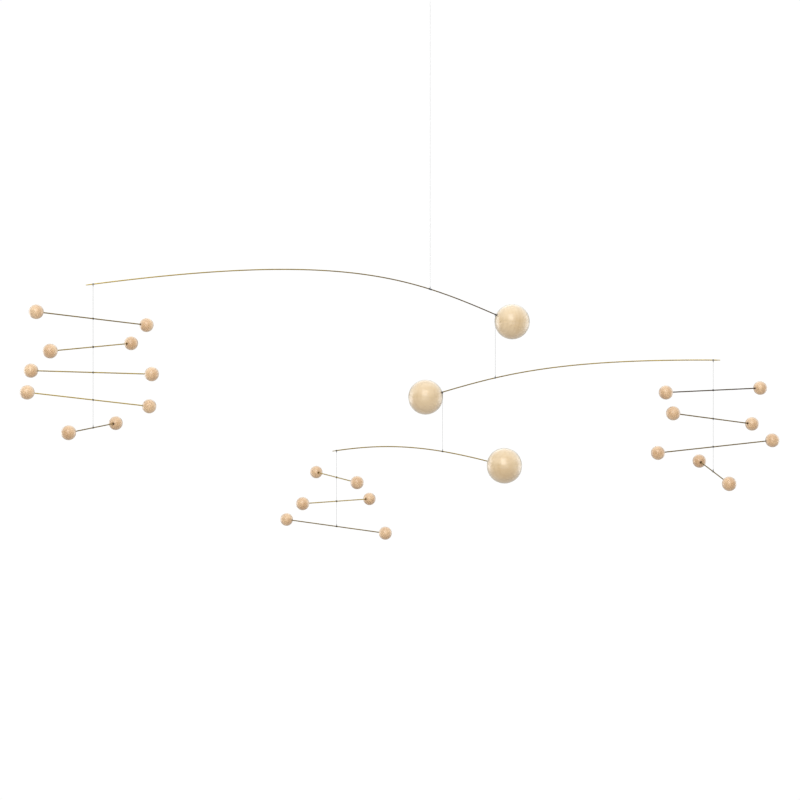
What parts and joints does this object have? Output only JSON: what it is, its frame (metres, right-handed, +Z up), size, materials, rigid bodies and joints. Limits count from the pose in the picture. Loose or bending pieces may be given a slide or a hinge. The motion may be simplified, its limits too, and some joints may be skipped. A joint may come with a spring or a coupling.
{
  "type": "hanging mobile sculpture",
  "caption": "Hanging mobile: bent wire arms, each balanced by a large wooden ball, carry stacks of short wire rods with a small wooden ball on each end.",
  "frame": {"origin": "the inside top of the loop in the hanging thread, where it rests on its hook", "axes": "+Z up along the hanging thread; +X to the right and +Y away as seen from the front, with the longest arm's stack on the left, at -X"},
  "size_m": [0.9692, 0.4027, 0.7571],
  "materials": {
    "large_ball_wood": "smooth, satin lacquer",
    "small_ball_wood": "smooth, beech-like, faintly streaked, satin lacquer",
    "golden_wire": "drawn wire, satin",
    "nylon_thread": "clear, glossy monofilament"
  },
  "bodies": {
    "hanger": {"hanging_thread": "nylon_thread"},
    "top_arm": {"top_arm_hitch": "nylon_thread", "top_arm": "golden_wire", "top_arm_ball": "large_ball_wood"},
    "middle_arm": {"middle_arm_thread": "nylon_thread", "middle_arm": "golden_wire", "middle_arm_ball": "large_ball_wood"},
    "lower_arm": {"lower_arm_thread": "nylon_thread", "lower_arm": "golden_wire", "lower_arm_ball": "large_ball_wood"},
    "left_tier_1": {"left_rod_1": "golden_wire", "left_rod_1_ball_a": "small_ball_wood", "left_rod_1_ball_b": "small_ball_wood", "left_thread_1": "nylon_thread"},
    "left_tier_2": {"left_rod_2": "golden_wire", "left_rod_2_ball_a": "small_ball_wood", "left_rod_2_ball_b": "small_ball_wood", "left_thread_2": "nylon_thread"},
    "left_tier_3": {"left_rod_3": "golden_wire", "left_rod_3_ball_a": "small_ball_wood", "left_rod_3_ball_b": "small_ball_wood", "left_thread_3": "nylon_thread"},
    "left_tier_4": {"left_rod_4": "golden_wire", "left_rod_4_ball_a": "small_ball_wood", "left_rod_4_ball_b": "small_ball_wood", "left_thread_4": "nylon_thread"},
    "left_tier_5": {"left_rod_5": "golden_wire", "left_rod_5_ball_a": "small_ball_wood", "left_rod_5_ball_b": "small_ball_wood", "left_thread_5": "nylon_thread"},
    "right_tier_1": {"right_rod_1": "golden_wire", "right_rod_1_ball_a": "small_ball_wood", "right_rod_1_ball_b": "small_ball_wood", "right_thread_1": "nylon_thread"},
    "right_tier_2": {"right_rod_2": "golden_wire", "right_rod_2_ball_a": "small_ball_wood", "right_rod_2_ball_b": "small_ball_wood", "right_thread_2": "nylon_thread"},
    "right_tier_3": {"right_rod_3": "golden_wire", "right_rod_3_ball_a": "small_ball_wood", "right_rod_3_ball_b": "small_ball_wood", "right_thread_3": "nylon_thread"},
    "right_tier_4": {"right_rod_4": "golden_wire", "right_rod_4_ball_a": "small_ball_wood", "right_rod_4_ball_b": "small_ball_wood", "right_thread_4": "nylon_thread"},
    "lower_tier_1": {"lower_rod_1": "golden_wire", "lower_rod_1_ball_a": "small_ball_wood", "lower_rod_1_ball_b": "small_ball_wood", "lower_thread_1": "nylon_thread"},
    "lower_tier_2": {"lower_rod_2": "golden_wire", "lower_rod_2_ball_a": "small_ball_wood", "lower_rod_2_ball_b": "small_ball_wood", "lower_thread_2": "nylon_thread"},
    "lower_tier_3": {"lower_rod_3": "golden_wire", "lower_rod_3_ball_a": "small_ball_wood", "lower_rod_3_ball_b": "small_ball_wood", "lower_thread_3": "nylon_thread"}
  },
  "joints": [
    {"name": "top_arm_swivel", "type": "hinge", "parent": "hanger", "child": "top_arm", "pos_m": [0, 0, -0.41], "axis": [0, 0, 1], "continuous": true},
    {"name": "middle_arm_swivel", "type": "hinge", "parent": "top_arm", "child": "middle_arm", "pos_m": [0.08903, 0.02824, -0.53036], "axis": [0, 0, 1], "continuous": true},
    {"name": "lower_arm_swivel", "type": "hinge", "parent": "middle_arm", "child": "lower_arm", "pos_m": [0.01811, 0.05294, -0.63275], "axis": [0, 0, 1], "continuous": true},
    {"name": "left_tier_1_swivel", "type": "hinge", "parent": "top_arm", "child": "left_tier_1", "pos_m": [-0.42608, -0.13516, -0.44789], "axis": [0, 0, 1], "continuous": true},
    {"name": "left_tier_2_swivel", "type": "hinge", "parent": "left_tier_1", "child": "left_tier_2", "pos_m": [-0.42608, -0.13516, -0.48349], "axis": [0, 0, 1], "continuous": true},
    {"name": "left_tier_3_swivel", "type": "hinge", "parent": "left_tier_2", "child": "left_tier_3", "pos_m": [-0.42608, -0.13516, -0.51549], "axis": [0, 0, 1], "continuous": true},
    {"name": "left_tier_4_swivel", "type": "hinge", "parent": "left_tier_3", "child": "left_tier_4", "pos_m": [-0.42608, -0.13516, -0.54999], "axis": [0, 0, 1], "continuous": true},
    {"name": "left_tier_5_swivel", "type": "hinge", "parent": "left_tier_4", "child": "left_tier_5", "pos_m": [-0.42608, -0.13516, -0.58499], "axis": [0, 0, 1], "continuous": true},
    {"name": "right_tier_1_swivel", "type": "hinge", "parent": "middle_arm", "child": "right_tier_1", "pos_m": [0.3662, -0.06828, -0.5417], "axis": [0, 0, 1], "continuous": true},
    {"name": "right_tier_2_swivel", "type": "hinge", "parent": "right_tier_1", "child": "right_tier_2", "pos_m": [0.3662, -0.06828, -0.5786], "axis": [0, 0, 1], "continuous": true},
    {"name": "right_tier_3_swivel", "type": "hinge", "parent": "right_tier_2", "child": "right_tier_3", "pos_m": [0.3662, -0.06828, -0.6152], "axis": [0, 0, 1], "continuous": true},
    {"name": "right_tier_4_swivel", "type": "hinge", "parent": "right_tier_3", "child": "right_tier_4", "pos_m": [0.3662, -0.06828, -0.6474], "axis": [0, 0, 1], "continuous": true},
    {"name": "lower_tier_1_swivel", "type": "hinge", "parent": "lower_arm", "child": "lower_tier_1", "pos_m": [-0.12969, 0.10096, -0.67376], "axis": [0, 0, 1], "continuous": true},
    {"name": "lower_tier_2_swivel", "type": "hinge", "parent": "lower_tier_1", "child": "lower_tier_2", "pos_m": [-0.12969, 0.10096, -0.70736], "axis": [0, 0, 1], "continuous": true},
    {"name": "lower_tier_3_swivel", "type": "hinge", "parent": "lower_tier_2", "child": "lower_tier_3", "pos_m": [-0.12969, 0.10096, -0.74276], "axis": [0, 0, 1], "continuous": true}
  ]
}
